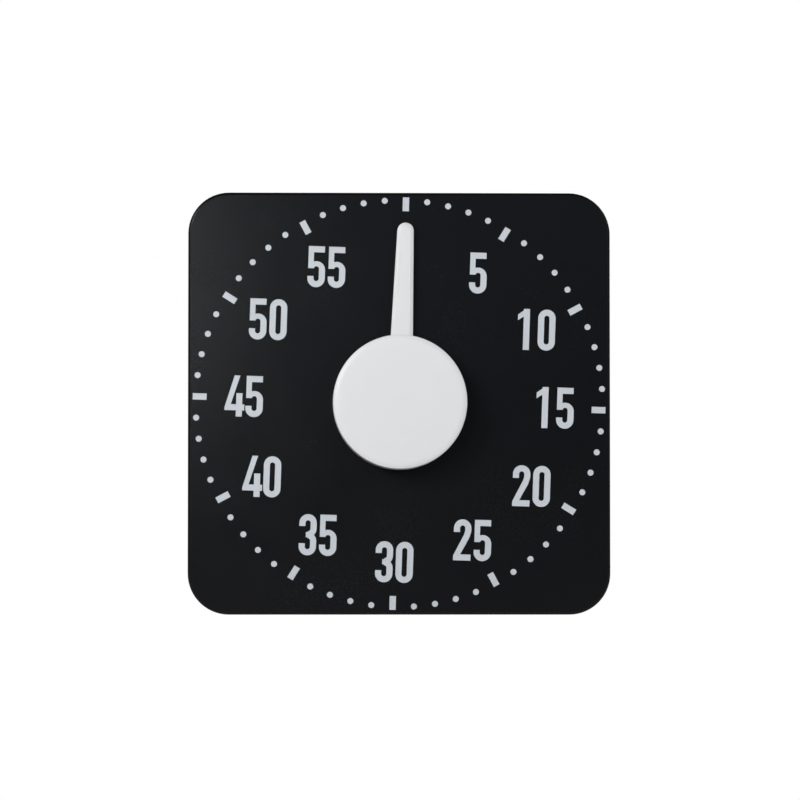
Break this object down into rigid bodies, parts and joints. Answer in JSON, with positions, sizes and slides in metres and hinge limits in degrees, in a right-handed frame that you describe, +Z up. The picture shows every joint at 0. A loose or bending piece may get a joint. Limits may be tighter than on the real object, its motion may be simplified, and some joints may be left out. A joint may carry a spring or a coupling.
{
  "type": "countdown timer",
  "caption": "Square clockwork countdown timer: a flat dial with minute marks, a round knob with a long pointer, and magnets and a folding stand behind.",
  "frame": {"origin": "under the middle of the part, on the surface that it stands on", "axes": "+Z up, the dial faces -Y, +X to the right as seen from the front"},
  "size_m": [0.18, 0.053, 0.18],
  "materials": {
    "case_plastic": "satin black moulded plastic",
    "print_ink": "pale blue-grey printed ink",
    "knob_plastic": "light grey satin plastic",
    "magnet": "dark grey sintered ferrite",
    "plate_steel": "brushed zinc-plated sheet",
    "bell_steel": "nickel-plated sheet",
    "spring_steel": "blued spring steel",
    "steel": "turned steel",
    "brass": "stamped and turned brass"
  },
  "bodies": {
    "case": {"front_case": "case_plastic", "rear_case": "case_plastic", "case_screws": "steel", "magnets": "magnet", "stand_pin": "steel", "minute_marks": "print_ink", "numbers": "print_ink", "front_plate": "plate_steel", "back_plate": "plate_steel", "plate_pillars": "brass", "pillar_nuts": "steel", "mount_screws": "steel", "arbor_bush": "brass", "stop_pin": "steel", "mainspring": "spring_steel", "spring_post": "steel", "hairspring": "spring_steel", "hairspring_stud": "brass", "balance_cock": "plate_steel", "cock_screws": "steel", "hammer_spring": "spring_steel", "bell": "bell_steel", "bell_post": "steel", "bell_screw": "steel"},
    "stand": {"stand_leg": "case_plastic"},
    "knob": {"knob_cap": "knob_plastic", "knob_insert": "brass", "pointer": "knob_plastic", "main_arbor": "steel", "cam": "brass", "stop_arm": "steel", "great_wheel": "brass", "ratchet_wheel": "steel", "click": "steel", "click_screw": "steel", "click_spring": "spring_steel"},
    "second": {"second_wheel": "brass", "second_arbor": "steel"},
    "third": {"third_wheel": "brass", "third_arbor": "steel"},
    "escape": {"escape_wheel": "brass", "escape_arbor": "steel"},
    "balance": {"pallet_anchor": "steel", "balance_staff": "steel", "balance_wheel": "brass", "hairspring_collet": "brass"},
    "hammer": {"hammer_arbor": "steel", "hammer_arm": "steel", "hammer_head": "brass", "hammer_tail": "steel"}
  },
  "joints": [
    {"name": "knob_turn", "type": "hinge", "parent": "case", "child": "knob", "pos_m": [0, -0.0095, 0.09], "axis": [0, 1, 0], "range_deg": [0, 352], "deforming": ["mainspring"]},
    {"name": "second_turn", "type": "hinge", "parent": "case", "child": "second", "pos_m": [-0.02425, 0.0065, 0.104], "axis": [0, 1, 0], "range_deg": [-3169, 1]},
    {"name": "third_turn", "type": "hinge", "parent": "case", "child": "third", "pos_m": [-0.01345, 0.0065, 0.12271], "axis": [0, 1, 0], "range_deg": [-1, 25345]},
    {"name": "escape_turn", "type": "hinge", "parent": "case", "child": "escape", "pos_m": [0.00428, 0.0065, 0.11958], "axis": [0, 1, 0], "range_deg": [-202753, 1]},
    {"name": "balance_swing", "type": "hinge", "parent": "case", "child": "balance", "pos_m": [0.01233, 0.0065, 0.11888], "axis": [0, 1, 0], "range_deg": [-8, 8], "stiffness_Nm_per_rad": 0.000018, "deforming": ["hairspring"]},
    {"name": "hammer_swing", "type": "hinge", "parent": "case", "child": "hammer", "pos_m": [0.027, 0.0065, 0.074], "axis": [0, 1, 0], "range_deg": [-1, 10], "stiffness_Nm_per_rad": 0.002, "deforming": ["hammer_spring"]},
    {"name": "stand_fold", "type": "hinge", "parent": "case", "child": "stand", "pos_m": [0, 0.0239, 0.106], "axis": [1, 0, 0], "range_deg": [0, 35]}
  ],
  "couplings": [
    {"joint": "second_turn", "follows": "knob_turn", "ratio": -9},
    {"joint": "third_turn", "follows": "knob_turn", "ratio": 72},
    {"joint": "escape_turn", "follows": "knob_turn", "ratio": -576}
  ]
}
